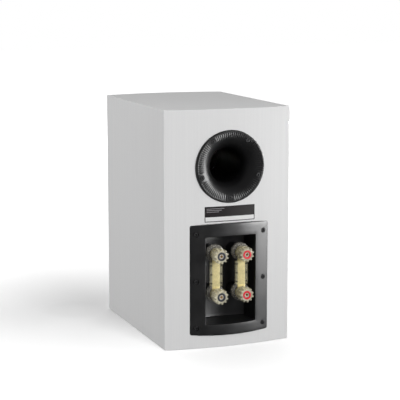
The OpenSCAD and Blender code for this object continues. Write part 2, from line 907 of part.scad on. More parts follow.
post_piece("core", black_x, low_z, gold);  // lower_black_core
post_piece("ring", black_x, low_z, black_tint);  // lower_black_ring
post_piece("washer", red_x, high_z, gold);  // upper_red_washer
post_piece("knob", red_x, high_z, gold);  // upper_red_knob
post_piece("core", red_x, high_z, gold);  // upper_red_core
post_piece("ring", red_x, high_z, red_tint);  // upper_red_ring
post_piece("washer", red_x, low_z, gold);  // lower_red_washer
post_piece("knob", red_x, low_z, gold);  // lower_red_knob
post_piece("core", red_x, low_z, gold);  // lower_red_core
post_piece("ring", red_x, low_z, red_tint);  // lower_red_ring
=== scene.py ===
import math

import bmesh
import bpy
from mathutils import Matrix, Vector
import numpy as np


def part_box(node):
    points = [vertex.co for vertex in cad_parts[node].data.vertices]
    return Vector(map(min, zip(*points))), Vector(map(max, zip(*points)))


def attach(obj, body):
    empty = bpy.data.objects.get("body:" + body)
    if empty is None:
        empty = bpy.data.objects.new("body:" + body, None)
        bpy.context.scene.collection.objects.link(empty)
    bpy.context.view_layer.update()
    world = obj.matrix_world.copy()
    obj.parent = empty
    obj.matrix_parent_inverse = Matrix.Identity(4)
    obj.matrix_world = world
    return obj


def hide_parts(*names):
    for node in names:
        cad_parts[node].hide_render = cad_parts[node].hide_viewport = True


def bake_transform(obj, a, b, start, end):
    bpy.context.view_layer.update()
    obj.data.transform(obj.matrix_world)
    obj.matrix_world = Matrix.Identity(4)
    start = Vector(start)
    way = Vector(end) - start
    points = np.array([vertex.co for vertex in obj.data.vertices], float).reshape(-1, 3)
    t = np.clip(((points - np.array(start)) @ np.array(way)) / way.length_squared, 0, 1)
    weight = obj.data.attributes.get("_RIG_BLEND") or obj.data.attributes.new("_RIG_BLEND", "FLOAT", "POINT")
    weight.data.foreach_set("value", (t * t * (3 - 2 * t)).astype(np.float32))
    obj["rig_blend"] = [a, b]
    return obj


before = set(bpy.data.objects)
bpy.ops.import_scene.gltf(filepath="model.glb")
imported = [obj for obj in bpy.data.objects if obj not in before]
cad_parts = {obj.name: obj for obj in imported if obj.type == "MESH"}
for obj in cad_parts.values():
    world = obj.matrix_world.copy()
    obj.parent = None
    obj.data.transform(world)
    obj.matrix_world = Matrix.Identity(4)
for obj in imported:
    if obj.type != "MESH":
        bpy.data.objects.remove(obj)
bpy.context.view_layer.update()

# Lengths in this script are millimetres in the part's own frame unless a name says otherwise.
MM = 0.001


def box_mm(node):
    """A CAD node's lowest and highest corners in millimetres."""
    low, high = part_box(node)
    return [c / MM for c in low], [c / MM for c in high]


def middle(node, axis):
    """The middle of a CAD node's box along one axis."""
    low, high = box_mm(node)
    return (low[axis] + high[axis]) / 2


# ---- places, read from the frame ---------------------------------------------

CABINET_LOW, CABINET_HIGH = box_mm("bottom_panel")
HALF_W = CABINET_HIGH[0]
REAR_CROWN = CABINET_HIGH[1]
FRONT_CROWN = CABINET_LOW[1]
CAB_H = box_mm("top_panel")[1][2]
PORT_Z = middle("port_tube", 2)
WOOFER_Z = middle("woofer_magnet", 2)
TWEETER_Z = middle("tweeter_faceplate", 2)
WOOFER_FACE = box_mm("woofer_basket")[0][1]
TWEETER_FACE = box_mm("tweeter_faceplate")[0][1]
POSTS = {
    f"{level}_{tint}": (
        middle(f"{level}_{tint}_knob", 0),
        middle(f"{level}_{tint}_core", 2),
    )
    for level in ("upper", "lower")
    for tint in ("black", "red")
}


def bow_radius(half, bow):
    """The radius of an arc that rises by bow over a half chord."""
    return (half * half + bow * bow) / (2 * bow)


# The bows of the two curved faces: the side panels end where the arcs start
REAR_BOW = 10.2
FRONT_BOW = 14.4
REAR_R = bow_radius(HALF_W, REAR_BOW)
FRONT_R = bow_radius(HALF_W, FRONT_BOW)


def rear_y(x, proud=0.0):
    """The back panel's face at x."""
    r = REAR_R + proud
    return REAR_CROWN - REAR_R + math.sqrt(r * r - x * x)


def front_y(x, proud=0.0):
    """The baffle's face at x."""
    r = FRONT_R + proud
    return FRONT_CROWN + FRONT_R - math.sqrt(r * r - x * x)


# ---- materials ---------------------------------------------------------------


class Shader:
    """A Principled material with a few procedural layers."""

    def __init__(self, name, color, roughness, **sockets):
        self.material = bpy.data.materials.new(name)
        self.material.use_nodes = True
        self.tree = self.material.node_tree
        self.bsdf = self.tree.nodes["Principled BSDF"]
        self.bsdf.inputs["Base Color"].default_value = (*color, 1)
        self.bsdf.inputs["Roughness"].default_value = roughness
        for socket, value in sockets.items():
            self.bsdf.inputs[socket.replace("_", " ")].default_value = value
        self.coords = self.node("ShaderNodeTexCoord").outputs["Object"]
        self.normal = None

    def node(self, kind, **values):
        made = self.tree.nodes.new(kind)
        for key, value in values.items():
            setattr(made, key, value)
        return made

    def link(self, source, target):
        self.tree.links.new(source, target)

    def scaled(self, scale):
        """Object coordinates, stretched along each axis."""
        mapping = self.node("ShaderNodeMapping")
        self.link(self.coords, mapping.inputs["Vector"])
        mapping.inputs["Scale"].default_value = scale
        return mapping.outputs["Vector"]

    def noise(self, scale, detail=4.0, rough=0.55):
        made = self.node("ShaderNodeTexNoise")
        made.inputs["Scale"].default_value = 1.0
        made.inputs["Detail"].default_value = detail
        made.inputs["Roughness"].default_value = rough
        self.link(self.scaled(scale), made.inputs["Vector"])
        return made.outputs["Fac"]

    def ramp(self, source, low, high, a, b):
        """Maps source from [a, b] to [low, high]."""
        made = self.node("ShaderNodeMapRange")
        self.link(source, made.inputs["Value"])
        made.inputs["From Min"].default_value = a
        made.inputs["From Max"].default_value = b
        made.inputs["To Min"].default_value = low
        made.inputs["To Max"].default_value = high
        return made.outputs["Result"]

    def mix(self, fac, color_a, color_b):
        made = self.node("ShaderNodeMix", data_type="RGBA")
        self.link(fac, made.inputs["Factor"])
        for key, value in (("A", color_a), ("B", color_b)):
            socket = next(s for s in made.inputs if s.name == key and s.type == "RGBA")
            if isinstance(value, tuple):
                socket.default_value = (*value, 1)
            else:
                self.link(value, socket)
        return next(s for s in made.outputs if s.type == "RGBA")

    def tint(self, fac, color_a, color_b):
        self.link(self.mix(fac, color_a, color_b), self.bsdf.inputs["Base Color"])
        return self

    def rough(self, fac, low, high, a=0.3, b=0.7):
        self.link(self.ramp(fac, low, high, a, b), self.bsdf.inputs["Roughness"])
        return self

    def bump(self, height, distance_mm, strength=1.0):
        made = self.node("ShaderNodeBump")
        made.inputs["Strength"].default_value = strength
        made.inputs["Distance"].default_value = distance_mm * MM
        self.link(height, made.inputs["Height"])
        if self.normal:
            self.link(self.normal, made.inputs["Normal"])
        self.normal = made.outputs["Normal"]
        self.link(self.normal, self.bsdf.inputs["Normal"])
        return self


def wrap_material():
    """Satin white vinyl with a very fine upright grain."""
    s = Shader("satin_white_wrap", (0.80, 0.80, 0.80), 0.50, Specular_IOR_Level=0.1)
    grain = s.noise((900, 900, 14), 5.0, 0.6)
    streak = s.noise((420, 420, 5), 3.0, 0.5)
    s.tint(s.ramp(streak, 0, 1, 0.35, 0.65), (0.785, 0.785, 0.787), (0.803, 0.803, 0.803))
    s.rough(grain, 0.44, 0.56)
    s.bump(grain, 0.05, 0.35)
    return s.material


def plastic_material(name, color, rough, grain_mm=0.5, depth_mm=0.04, gloss=0.5):
    """Moulded plastic with a fine spark-eroded texture."""
    s = Shader(name, color, rough, Specular_IOR_Level=gloss)
    grain = s.noise((1 / (grain_mm * MM),) * 3, 3.0)
    cloud = s.noise((40, 40, 40), 4.0)
    lighter = tuple(min(1, c * 1.25 + 0.003) for c in color)
    s.tint(s.ramp(cloud, 0, 1, 0.3, 0.7), color, lighter)
    s.rough(cloud, rough - 0.04, rough + 0.06)
    s.bump(grain, depth_mm, 0.5)
    return s.material


def metal_material(name, color, rough, shine=1.0):
    """Plated metal with faint handling marks."""
    s = Shader(name, color, rough, Metallic=shine)
    mark = s.noise((300, 300, 300), 5.0)
    darker = tuple(c * 0.82 for c in color)
    s.tint(s.ramp(mark, 0, 1, 0.35, 0.7), darker, color)
    s.rough(mark, rough - 0.06, rough + 0.10)
    s.bump(mark, 0.02, 0.3)
    return s.material


def stud_material():
    """Gold plate, with a painted highlight: the stud's flat end round the socket's mouth is painted
    near-white.
    """
    high = box_mm("post_studs")[1]
    s = Shader("gold_stud", (0.80, 0.52, 0.14), 0.36, Metallic=0.25)
    split = s.node("ShaderNodeSeparateXYZ")
    s.link(s.coords, split.inputs["Vector"])
    mark = s.noise((300, 300, 300), 5.0)
    # painted highlight: over its last 0.6 mm the stud's end turns near-white, standing in for the light its
    # flat end catches
    tip = s.ramp(split.outputs["Y"], 0, 1, (high[1] - 0.6) * MM, (high[1] - 0.45) * MM)
    gold = s.mix(mark, (0.66, 0.42, 0.10), (0.86, 0.58, 0.18))
    s.tint(tip, gold, (0.86, 0.83, 0.74))
    s.rough(mark, 0.30, 0.46)
    s.bump(mark, 0.02, 0.3)
    return s.material


def clear_material(name, color, see_through, speck_mm=4.0):
    """Clear warm moulded plastic: see_through is the lowest and highest opacity over its specks."""
    s = Shader(name, color, 0.12, IOR=1.46)
    specks = s.noise((1 / (speck_mm * MM),) * 3, 3.0, 0.6)
    pale = tuple(min(1, c * 1.06) for c in color)
    s.tint(s.ramp(specks, 0, 1, 0.35, 0.65), tuple(c * 0.9 for c in color), pale)
    s.link(s.ramp(specks, *see_through, 0.38, 0.62), s.bsdf.inputs["Alpha"])
    s.rough(specks, 0.14, 0.24)
    s.bump(specks, 0.03, 0.3)
    return s.material


def board_material():
    """Raw fibreboard, speckled brown."""
    s = Shader("fibreboard", (0.50, 0.38, 0.25), 0.85)
    fibre = s.noise((700, 700, 700), 6.0, 0.7)
    s.tint(s.ramp(fibre, 0, 1, 0.3, 0.7), (0.40, 0.29, 0.18), (0.60, 0.47, 0.32))
    s.bump(fibre, 0.1, 0.6)
    return s.material


def fibre_material(name, dark, light, scale, depth_mm):
    """Soft fibres: wadding or spider cloth."""
    s = Shader(name, light, 0.95, Sheen_Weight=0.3)
    fibre = s.noise(scale, 8.0, 0.75)
    s.tint(s.ramp(fibre, 0, 1, 0.3, 0.7), dark, light)
    s.bump(fibre, depth_mm, 0.8)
    return s.material


def winding_material():
    """Enamelled copper wire, wound in close turns."""
    s = Shader("copper_winding", (0.62, 0.28, 0.12), 0.30, Metallic=1.0)
    turns = s.node("ShaderNodeTexWave", wave_type="BANDS", bands_direction="Z")
    turns.inputs["Scale"].default_value = 400
    s.link(s.coords, turns.inputs["Vector"])
    s.tint(turns.outputs["Fac"], (0.40, 0.15, 0.06), (0.72, 0.34, 0.15))
    s.bump(turns.outputs["Fac"], 0.2, 0.7)
    return s.material


def weave_material():
    """Coated woven cone, seen as a fine check."""
    s = Shader("woven_cone", (0.05, 0.05, 0.055), 0.38, Coat_Weight=0.25, Coat_Roughness=0.2)
    check = s.node("ShaderNodeTexChecker")
    check.inputs["Scale"].default_value = 620
    s.link(s.coords, check.inputs["Vector"])
    s.tint(check.outputs["Fac"], (0.030, 0.030, 0.033), (0.070, 0.070, 0.076))
    s.bump(check.outputs["Fac"], 0.08, 0.4)
    return s.material


def bar_mask(s, x, z, box):
    """1 inside the rectangle box = (x0, z0, x1, z1) in millimetres, else 0."""
    result = None
    for source, low, high in ((x, box[0], box[2]), (z, box[1], box[3])):
        for edge, kind in ((low, "GREATER_THAN"), (high, "LESS_THAN")):
            test = s.node("ShaderNodeMath", operation=kind)
            s.link(source, test.inputs[0])
            test.inputs[1].default_value = edge * MM
            if result is None:
                result = test.outputs[0]
            else:
                both = s.node("ShaderNodeMath", operation="MULTIPLY")
                s.link(result, both.inputs[0])
                s.link(test.outputs[0], both.inputs[1])
                result = both.outputs[0]
    return result


def label_material():
    """Dark printed film with a blank white strip and plain bars where print would be."""
    low, high = box_mm("rating_label")
    s = Shader("label_film", (0.03, 0.028, 0.03), 0.45, Specular_IOR_Level=0.15)
    split = s.node("ShaderNodeSeparateXYZ")
    s.link(s.coords, split.inputs["Vector"])
    x, z = split.outputs["X"], split.outputs["Z"]
    border = 1.1
    strip_top = low[2] + 0.32 * (high[2] - low[2])
    strip = bar_mask(s, x, z, (low[0] + border, low[2] + border, high[0] - border, strip_top))
    color = s.mix(strip, (0.014, 0.011, 0.012), (0.80, 0.80, 0.80))
    for i in range(3):
        top = high[2] - 2.8 - 2.4 * i
        bar = (high[0] - 30 + 4 * i, top - 0.8, high[0] - 3, top)
        color = s.mix(bar_mask(s, x, z, bar), color, (0.30, 0.29, 0.30))
    s.link(color, s.bsdf.inputs["Base Color"])
    cloud = s.noise((300, 300, 300), 3.0)
    s.rough(cloud, 0.42, 0.52)
    return s.material


WRAP = wrap_material()
CLEAR = clear_material("clear_plastic", (0.95, 0.90, 0.70), (0.40, 0.56), 5.0)
CLEAR_COVER = clear_material("clear_cover", (0.90, 0.84, 0.56), (0.10, 0.16), 8.0)
CLEAR_COLLAR = clear_material("clear_collar", (0.45, 0.43, 0.38), (0.04, 0.62), 1.8)
BOARD = board_material()
CUP_PLASTIC = plastic_material("cup_plastic", (0.009, 0.009, 0.0095), 0.38, gloss=0.5)
PORT_PLASTIC = plastic_material("port_plastic", (0.005, 0.005, 0.0054), 0.34, gloss=0.3)
TRIM_PLASTIC = plastic_material("trim_plastic", (0.020, 0.020, 0.021), 0.45)
RUBBER = plastic_material("surround_rubber", (0.018, 0.018, 0.019), 0.62, 0.8, 0.03)
DOME = plastic_material("dome_cloth", (0.030, 0.030, 0.032), 0.55, 0.35, 0.05)
BLACK_SCREW = metal_material("black_oxide", (0.018, 0.018, 0.019), 0.45, shine=0.6)
STEEL = metal_material("zinc_plate", (0.55, 0.56, 0.58), 0.32)
GOLD = metal_material("gold_plate", (0.92, 0.80, 0.40), 0.36, shine=0.25)
GOLD_STUD = stud_material()
FERRITE = plastic_material("ferrite", (0.045, 0.045, 0.05), 0.7, 0.6, 0.08)
CONE = weave_material()
COPPER = winding_material()
WADDING = fibre_material("wadding", (0.62, 0.58, 0.46), (0.90, 0.87, 0.78), (500, 500, 500), 0.8)
SPIDER = fibre_material("spider_cloth", (0.42, 0.29, 0.12), (0.66, 0.50, 0.26), (1500, 1500, 1500), 0.1)
RED = plastic_material("red_plastic", (0.72, 0.025, 0.045), 0.30, 0.5, 0.01)
BLACK = plastic_material("black_ring_plastic", (0.035, 0.038, 0.05), 0.30, 0.5, 0.01)
LAMINATE = plastic_material("circuit_laminate", (0.05, 0.16, 0.07), 0.45, 0.6, 0.02)
FILM = plastic_material("capacitor_film", (0.70, 0.50, 0.10), 0.25, 1.5, 0.02)
CERAMIC = plastic_material("cement", (0.78, 0.76, 0.72), 0.75, 0.7, 0.08)
INSULATION = plastic_material("wire_insulation", (0.50, 0.03, 0.025), 0.45, 1.0, 0.02)
LABEL = label_material()


def dress(obj, material):
    obj.data.materials.clear()
    obj.data.materials.append(material)
    return obj


def dress_node(node, material):
    """Gives a carried-over CAD node its material."""
    dress(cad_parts[node], material)


# ---- mesh helpers ------------------------------------------------------------


def mesh_object(name, points, faces, sharp_deg=35):
    """A smooth-shaded object from points in millimetres, with creases where it turns sharply."""
    mesh = bpy.data.meshes.new(name)
    mesh.from_pydata([(x * MM, y * MM, z * MM) for x, y, z in points], [], faces)
    mesh.validate()
    obj = bpy.data.objects.new(name, mesh)
    bpy.context.scene.collection.objects.link(obj)
    outward(obj)
    smooth(obj, sharp_deg)
    return obj


def outward(obj):
    """Turns every face outwards."""
    bm = bmesh.new()
    bm.from_mesh(obj.data)
    bmesh.ops.recalc_face_normals(bm, faces=bm.faces)
    bm.to_mesh(obj.data)
    bm.free()


def smooth(obj, sharp_deg=35):
    for polygon in obj.data.polygons:
        polygon.use_smooth = True
    obj.data.set_sharp_from_angle(angle=math.radians(sharp_deg))


def fillet(points, steps=4):
    """A profile of (a, b) or (a, b, radius) corners, with each radius turned into an arc."""
    out = []
    for i, point in enumerate(points):
        radius = point[2] if len(point) > 2 else 0
        here = Vector(point[:2])
        if not radius or i in (0, len(points) - 1):
            out.append(tuple(here))
            continue
        before = Vector(points[i - 1][:2]) - here
        after = Vector(points[i + 1][:2]) - here
        turn = before.angle(after)
        reach = min(radius / math.tan(turn / 2), 0.49 * before.length, 0.49 * after.length)
        start = here + before.normalized() * reach
        end = here + after.normalized() * reach
        for k in range(steps + 1):
            t = k / steps
            out.append(tuple((1 - t) ** 2 * start + 2 * t * (1 - t) * here + t * t * end))
    return out


def lathe(name, profile, cx, cz, segments=96, closed=False, radius_at=None, y_at=None):
    """Turns a profile of (r, y) about the line through (cx, cz) along Y.

    radius_at(i, r, angle) and y_at(i, r, y, angle) change a point; closed joins the last row to the first.
    """
    points, rows = [], []
    for i, (r, y) in enumerate(profile):
        if r < 1e-6:
            rows.append([len(points)] * segments)
            points.append((cx, y, cz))
            continue
        row = []
        for k in range(segments):
            angle = 2 * math.pi * k / segments
            rr = radius_at(i, r, angle) if radius_at else r
            yy = y_at(i, rr, y, angle) if y_at else y
            row.append(len(points))
            points.append((cx + rr * math.cos(angle), yy, cz + rr * math.sin(angle)))
        rows.append(row)
    if closed:
        rows.append(rows[0])
    faces = []
    for a, b in zip(rows, rows[1:]):
        for k in range(segments):
            m = (k + 1) % segments
            corner = [a[k], a[m], b[m], b[k]]
            face = [v for j, v in enumerate(corner) if v not in corner[:j]]
            if len(face) > 2:
                faces.append(face)
    return mesh_object(name, points, faces)


def rings_mesh(name, rings):
    """Joins closed rings of equal length, one after another, and caps both ends."""
    count = len(rings[0])
    points = [p for ring in rings for p in ring]
    faces = []
    for i in range(len(rings) - 1):
        for k in range(count):
            m = (k + 1) % count
            faces.append([i * count + k, i * count + m, (i + 1) * count + m, (i + 1) * count + k])
    faces.append(list(range(count)))
    faces.append([(len(rings) - 1) * count + k for k in range(count)])
    return mesh_object(name, points, faces)


def apply_modifiers(obj):
    bpy.context.view_layer.update()
    graph = bpy.context.evaluated_depsgraph_get()
    mesh = bpy.data.meshes.new_from_object(obj.evaluated_get(graph))
    old = obj.data
    obj.modifiers.clear()
    obj.data = mesh
    bpy.data.meshes.remove(old)
    return obj


def bevel(obj, width, segments=3, angle=35):
    made = obj.modifiers.new("edge", "BEVEL")
    made.width = width * MM
    made.segments = segments
    made.limit_method = "ANGLE"
    made.angle_limit = math.radians(angle)
    apply_modifiers(obj)
    smooth(obj)
    return obj


def cut(obj, *cutters):
    """Takes the cutters out of obj and removes them."""
    for cutter in cutters:
        made = obj.modifiers.new("cut", "BOOLEAN")
        made.operation = "DIFFERENCE"
        made.solver = "EXACT"
        made.object = cutter
        apply_modifiers(obj)
    for cutter in cutters:
        mesh = cutter.data
        bpy.data.objects.remove(cutter)
        bpy.data.meshes.remove(mesh)
    smooth(obj)
    return obj


def join(name, parts):
    """One object from several."""
    first = parts[0]
    bpy.ops.object.select_all(action="DESELECT")
    for part in parts:
        part.select_set(True)
    bpy.context.view_layer.objects.active = first
    bpy.ops.object.join()
    first.name = name
    first.data.name = name
    return first


def slab(name, outline, y0, y1):
    """A plate between y0 and y1 with an outline in X and Z."""
    rings = [[(x, y, z) for x, z in outline] for y in (y0, y1)]
    return rings_mesh(name, rings)


def place(obj, material, body, slot, *nodes):
    """Dresses a piece, stands it for its CAD nodes and lets it ride."""
    dress(obj, material)
    if nodes:
        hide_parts(*nodes)
    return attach(obj, body)


# ---- cabinet -----------------------------------------------------------------

WRAP_OUT = 0.3
WRAP_IN = 0.2
WRAP_EDGE = 0.9
PORT_CUT_R = 53.25
WOOFER_CUT_R = 78.25
TWEETER_CUT_R = 50.25
CUP_CUT_HALF = (45, 70)


def plan(proud, steps=64):
    """The cabinet's outline in X and Y, grown by proud."""
    half = HALF_W + proud
    xs = [half - 2 * half * i / steps for i in range(steps + 1)]
    return [(x, rear_y(x, proud)) for x in xs] + [(-x, front_y(x, proud)) for x in xs]


def prism(name, outline, z0, z1):
    return rings_mesh(name, [[(x, y, z) for x, y in outline] for z in (z0, z1)])


def disc_cutter(radius, y0, y1, cz, cx=0.0, segments=128):
    return lathe("cutter", [(0, y0), (radius, y0), (radius, y1), (0, y1)], cx, cz, segments)


def rounded_rectangle(half_w, half_h, radius, side_steps=18, corner_steps=5, arch=0.0):
    """Points (x, z) round a rectangle whose top and bottom edges bow outwards by arch."""
    points = []
    for sx, sz, turn in ((1, 1, 0), (-1, 1, 90), (-1, -1, 180), (1, -1, 270)):
        cx, cz = sx * (half_w - radius), sz * (half_h - radius)
        for k in range(corner_steps + 1):
            a = math.radians(turn + 90 * k / corner_steps)
            points.append((cx + radius * math.cos(a), cz + radius * math.sin(a)))
        following = {
            0: (-(half_w - radius), half_h), 90: (-half_w, -(half_h - radius)),
            180: (half_w - radius, -half_h), 270: (half_w, half_h - radius),
        }[turn]
        start = points[-1]
        for k in range(1, side_steps):
            t = k / side_steps
            x = start[0] + (following[0] - start[0]) * t
            z = start[1] + (following[1] - start[1]) * t
            points.append((x, z))
    arched = []
    for x, z in points:
        if abs(z) > half_h - radius - 0.01:
            z += math.copysign(arch * (1 - min(1, (x / half_w) ** 2)), z)
        arched.append((x, z))
    return arched


def build_wrap():
    """The vinyl wrap: a thin skin round all six panels, with softened edges and cut-outs."""
    skin = bevel(prism("cabinet_wrap", plan(WRAP_OUT), -WRAP_OUT, CAB_H + WRAP_OUT), WRAP_EDGE, 4, 60)
    inner = prism("cutter", plan(-WRAP_IN), WRAP_IN, CAB_H - WRAP_IN)
    low, high = box_mm("terminal_cup")
    mid_z = (low[2] + high[2]) / 2
    window = [(x, z + mid_z) for x, z in rounded_rectangle(*CUP_CUT_HALF, 4)]
    cut(
        skin, inner,
        disc_cutter(PORT_CUT_R, 100, 200, PORT_Z),
        slab("cutter", window, 100, 200),
        disc_cutter(WOOFER_CUT_R, -200, -100, WOOFER_Z),
        disc_cutter(TWEETER_CUT_R, -200, -100, TWEETER_Z),
    )
    smooth(skin, 30)
    place(skin, WRAP, "cabinet", "cabinet_wrap")


build_wrap()
for panel in ("left_side_panel", "right_side_panel", "top_panel", "bottom_panel",
              "front_baffle", "rear_panel", "shelf_brace"):
    dress_node(panel, BOARD if panel == "shelf_brace" else WRAP)


# ---- port --------------------------------------------------------------------

PORT_FRONT = box_mm("port_flare")[1][1]
PORT_BACK = box_mm("port_flare")[0][1]
PORT_SCREW_R = 46
PORT_SCREWS = [math.radians(270 + 72 * i) for i in range(5)]
FLANGE_R = 53
THROAT_R = 25
FLARE_R = 25
RIBS = 96
RIB_DEPTH = 0.55
RIB_IN, RIB_OUT = 38.5, 50.3
SCREW_HEAD_R = 3.5
PORT_SCREW_SEAT = 144.9


def port_screw_places():
    return [(PORT_SCREW_R * math.cos(a), PORT_Z + PORT_SCREW_R * math.sin(a)) for a in PORT_SCREWS]


def angle_gap(a, b):
    """The angle between two directions, the short way round."""
    return abs((a - b + math.pi) % (2 * math.pi) - math.pi)


def build_port():
    """The flare: a rounded flange, a quarter-round mouth with fine radial ribs, and a spigot."""
    steps = 34
    mouth = []
    for k in range(steps + 1):
        a = math.radians(90 * k / steps)
        mouth.append((THROAT_R + FLARE_R * (1 - math.sin(a)), PORT_FRONT - FLARE_R * (1 - math.cos(a))))
    profile = [
        (THROAT_R + 2.5, PORT_BACK), (THROAT_R + 2.5, PORT_FRONT - FLARE_R), (32, PORT_FRONT - 11),
        (41, 142.5), (FLANGE_R, 142.5),
    ]
    rim = fillet([(FLANGE_R, 143.5), (FLANGE_R, PORT_FRONT, 1.6), (mouth[0][0] + 0.4, PORT_FRONT)], 5)
    profile += rim[1:]
    first = len(profile)
    profile += mouth + [(THROAT_R, PORT_BACK)]

    def ribbed(i, r, y, angle):
        if not RIB_IN < r < RIB_OUT or i < first:
            return y
        near = min(angle_gap(angle, a) for a in PORT_SCREWS) * PORT_SCREW_R
        clear = 1.0
        if abs(r - PORT_SCREW_R) < 6.5:
            clear = min(1.0, max(0.0, (near - 5.5) / 1.5))
        fade = min(1.0, (RIB_OUT - r) / 0.8) * min(1.0, (r - RIB_IN) / 6)
        return y - RIB_DEPTH * clear * fade * (0.5 - 0.5 * math.cos(RIBS * angle))

    flare = lathe("port_flare_moulding", profile, 0, PORT_Z, RIBS * 6, closed=True, y_at=ribbed)
    cutters = [
        disc_cutter(3.9, PORT_SCREW_SEAT, 160, z, x, 32)
        for x, z in port_screw_places()
    ]
    cut(flare, *cutters)
    place(flare, PORT_PLASTIC, "cabinet", "port_plastic", "port_flare")


def socket_screw(name, x, z, seat_y, head_r, head_h, socket_r=1.75):
    """A cap screw's head with a hex socket, facing +Y, on a short shank."""
    top = seat_y + head_h
    profile = [(0, top - 1.3), (socket_r, top - 1.3), (socket_r, top), (socket_r + 0.25, top)]
    profile += fillet([(socket_r + 0.5, top), (head_r, top, 0.5), (head_r, seat_y)], 3)[1:]
    profile += [(1.65, seat_y), (1.65, seat_y - 12), (0, seat_y - 12.5)]

    def hexed(i, r, angle):
        if i not in (1, 2, 3):
            return r
        corner = math.pi / 3
        return r * math.cos(corner / 2) / math.cos(angle % corner - corner / 2)

    return lathe(name, profile, x, z, 36, radius_at=hexed)


def build_port_screws():
    parts = [
        socket_screw("screw", x, z, PORT_SCREW_SEAT, SCREW_HEAD_R, 2.0)
        for x, z in port_screw_places()
    ]
    place(join("port_cap_screws", parts), BLACK_SCREW, "cabinet", "black_screw", "port_screws")


build_port()
build_port_screws()
dress_node("port_tube", PORT_PLASTIC)


# ---- terminal cup ------------------------------------------------------------

CUP_LOW, CUP_HIGH = box_mm("terminal_cup")
CUP_Z = (CUP_LOW[2] + CUP_HIGH[2]) / 2
PLATE_HALF_W = CUP_HIGH[0]
PLATE_ARCH = 1.64
PLATE_HALF_H = (CUP_HIGH[2] - CUP_LOW[2]) / 2 - PLATE_ARCH
PLATE_BOW = 10.7
PLATE_R = bow_radius(PLATE_HALF_W, PLATE_BOW)
PLATE_CROWN = CUP_HIGH[1]
RECESS_Z = 101.05
RECESS_HALF_W = 39.0
RECESS_HALF_H = 64.65
RECESS_ARCH = 0.85
FLOOR_HALF_W = 37.4
FLOOR_Y = 105.0
FLOOR_R = bow_radius(37.5, 7.0)
CUP_WALL = 3.0
CUP_SCREW_X = 53
CUP_SCREW_SINK = 1.9
CUP_SCREWS = [(x, z) for x in (-CUP_SCREW_X, CUP_SCREW_X) for z in (31, 100.6, 170.3)]


def plate_y(x, inset=0.0):
    r = PLATE_R - inset
    return PLATE_CROWN - PLATE_R + math.sqrt(r * r - x * x)


def floor_y(x, behind=0.0):
    r = FLOOR_R + behind
    return FLOOR_Y + FLOOR_R - math.sqrt(r * r - x * x)


def build_cup():
    """One moulding: a bowed plate, an opening with softened edges, walls, a bowed back wall and bosses."""

    def outline(half_w, half_h, radius, arch, mid_z, y_of):
        return [(x, y_of(x), z + mid_z) for x, z in rounded_rectangle(half_w, half_h, radius, arch=arch)]

    rings = []
    for scale in (0.02, 0.25, 0.5, 0.75, 0.92):
        half_w, half_h = FLOOR_HALF_W * scale, 63.9 * scale
        rings.append(outline(half_w, half_h, 2.0 * scale, 0.8 * scale, RECESS_Z, floor_y))
    fillet_r = 1.6
    for k in range(5):
        a = math.radians(90 * k / 4)
        inset = fillet_r * (1 - math.sin(a))
        lift = fillet_r * (1 - math.cos(a))
        half_w, half_h = FLOOR_HALF_W - inset, 64.5 - inset
        rings.append(outline(half_w, half_h, 2.0, RECESS_ARCH, RECESS_Z, lambda x: floor_y(x) + lift))
    edge_r = 0.9
    for k in range(5):
        a = math.radians(90 * k / 4)
        out, down = edge_r * (1 - math.cos(a)), edge_r * (1 - math.sin(a))
        half_w, half_h = RECESS_HALF_W + out, RECESS_HALF_H + out
        rings.append(outline(half_w, half_h, 1.6, RECESS_ARCH, RECESS_Z, lambda x: plate_y(x) - down))
    for t in (0.33, 0.66):
        half_w = RECESS_HALF_W + (PLATE_HALF_W - RECESS_HALF_W) * t
        half_h = RECESS_HALF_H + (PLATE_HALF_H - RECESS_HALF_H) * t
        mid = RECESS_Z + (CUP_Z - RECESS_Z) * t
        arch = RECESS_ARCH + (PLATE_ARCH - RECESS_ARCH) * t
        rings.append(outline(half_w, half_h, 1.6 + t, arch, mid, plate_y))
    rim = 0.8
    for k in range(5):
        a = math.radians(90 * k / 4)
        inset, down = rim * (1 - math.sin(a)), rim * (1 - math.cos(a))
        half_w, half_h = PLATE_HALF_W - inset, PLATE_HALF_H - inset
        rings.append(outline(half_w, half_h, 2.6, PLATE_ARCH, CUP_Z, lambda x: plate_y(x) - down))
    half_w, half_h = RECESS_HALF_W + CUP_WALL, RECESS_HALF_H + CUP_WALL
    rings.append(outline(PLATE_HALF_W, PLATE_HALF_H, 2.6, PLATE_ARCH, CUP_Z, lambda x: rear_y(x, 0.05)))
    rings.append(outline(half_w, half_h, 2.6, 0.8, RECESS_Z, lambda x: rear_y(x, 0.05)))
    for scale in (1.0, 0.75, 0.5, 0.25, 0.02):
        half_w, half_h = (FLOOR_HALF_W + CUP_WALL) * scale, (64 + CUP_WALL) * scale
        corner, arch = 2.6 * scale, 0.8 * scale
        rings.append(outline(half_w, half_h, corner, arch, RECESS_Z, lambda x: floor_y(x, CUP_WALL)))
    cup = rings_mesh("cup", rings)
    seat = plate_y(CUP_SCREW_X) - CUP_SCREW_SINK
    cut(cup, *[disc_cutter(4.0, seat, 170, z, x, 32) for x, z in CUP_SCREWS])
    boss = fillet([(3.7, 99), (9.6, 99), (9.2, 128.5), (9.0, 130, 0.6), (3.7, 130)])
    bosses = [lathe("boss", boss, x, z, 48, closed=True) for x, z in POSTS.values()]
    moulding = join("terminal_cup_moulding", [cup, *bosses])
    smooth(moulding, 40)
    place(moulding, CUP_PLASTIC, "cabinet", "cup_plastic", "terminal_cup")
    screws = [socket_screw("screw", x, z, seat, SCREW_HEAD_R, 1.7) for x, z in CUP_SCREWS]
    place(join("cup_cap_screws", screws), BLACK_SCREW, "cabinet", "black_screw", "cup_screws")


